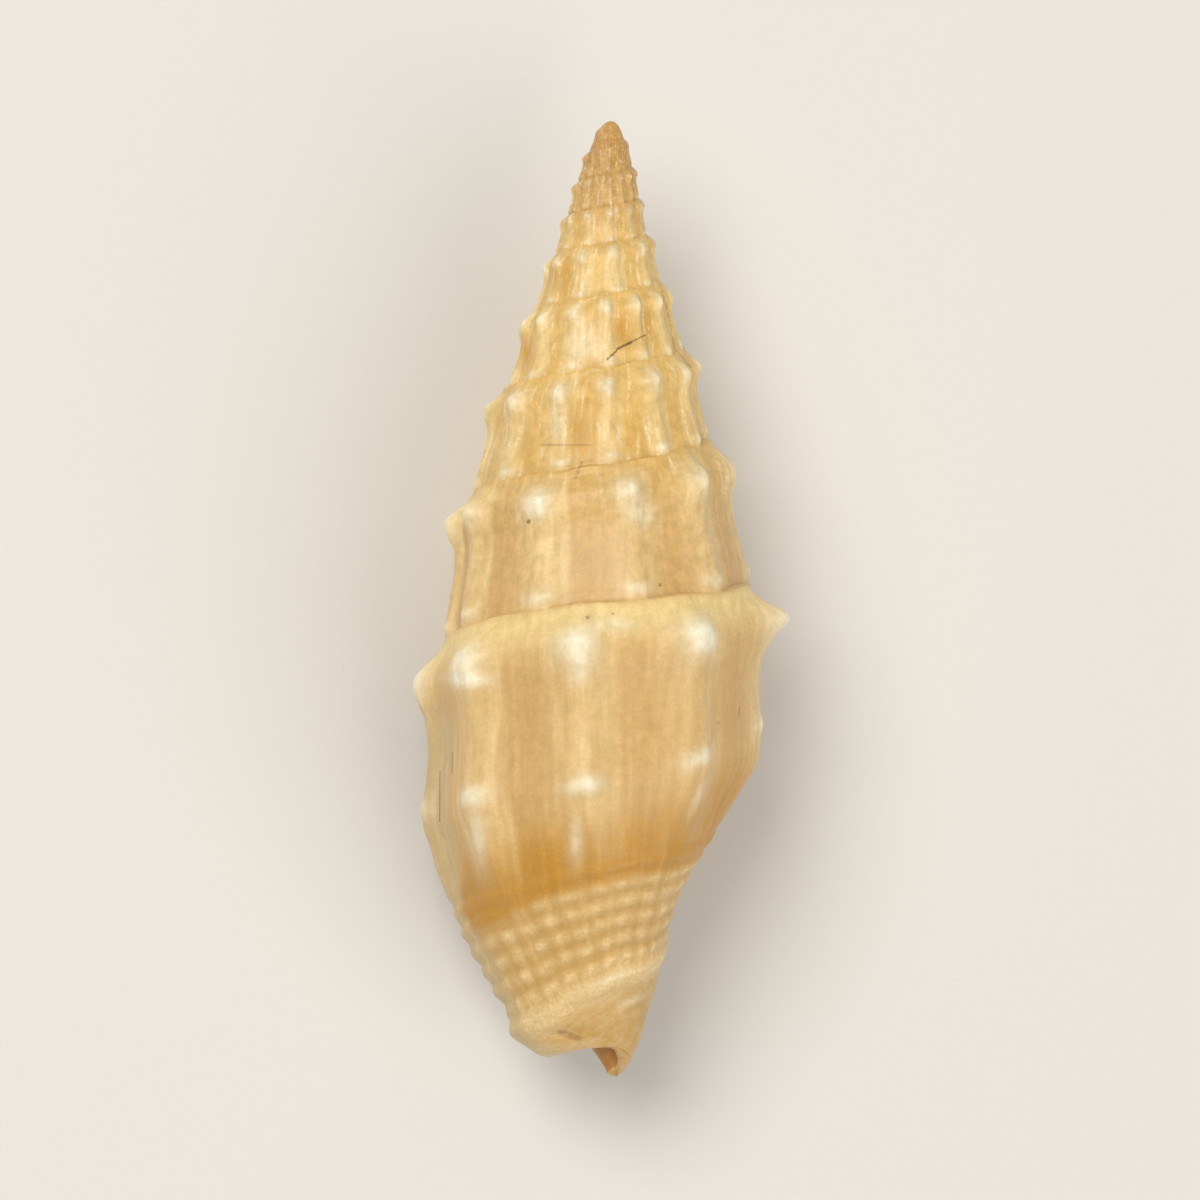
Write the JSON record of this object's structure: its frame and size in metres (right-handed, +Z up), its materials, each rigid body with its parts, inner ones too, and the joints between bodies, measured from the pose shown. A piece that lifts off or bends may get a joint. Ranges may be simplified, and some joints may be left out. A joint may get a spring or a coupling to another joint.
{
  "type": "vexillum coronatum shell",
  "caption": "Slender ribbed mitre shell with a high spire, a crown of nodules on each whorl, a corded base and a narrow mouth, lying with its back up.",
  "frame": {"origin": "on the surface the shell lies on, under the centre of its bounding box", "axes": "+Z up, out of the shell's back; +Y along the shell towards the tip of the spire; +X to the right seen from above with the tip away"},
  "size_m": [0.0096, 0.025, 0.0085],
  "materials": {
    "shell": "gloss"
  },
  "bodies": {
    "root": {"shell": "shell"}
  },
  "joints": []
}
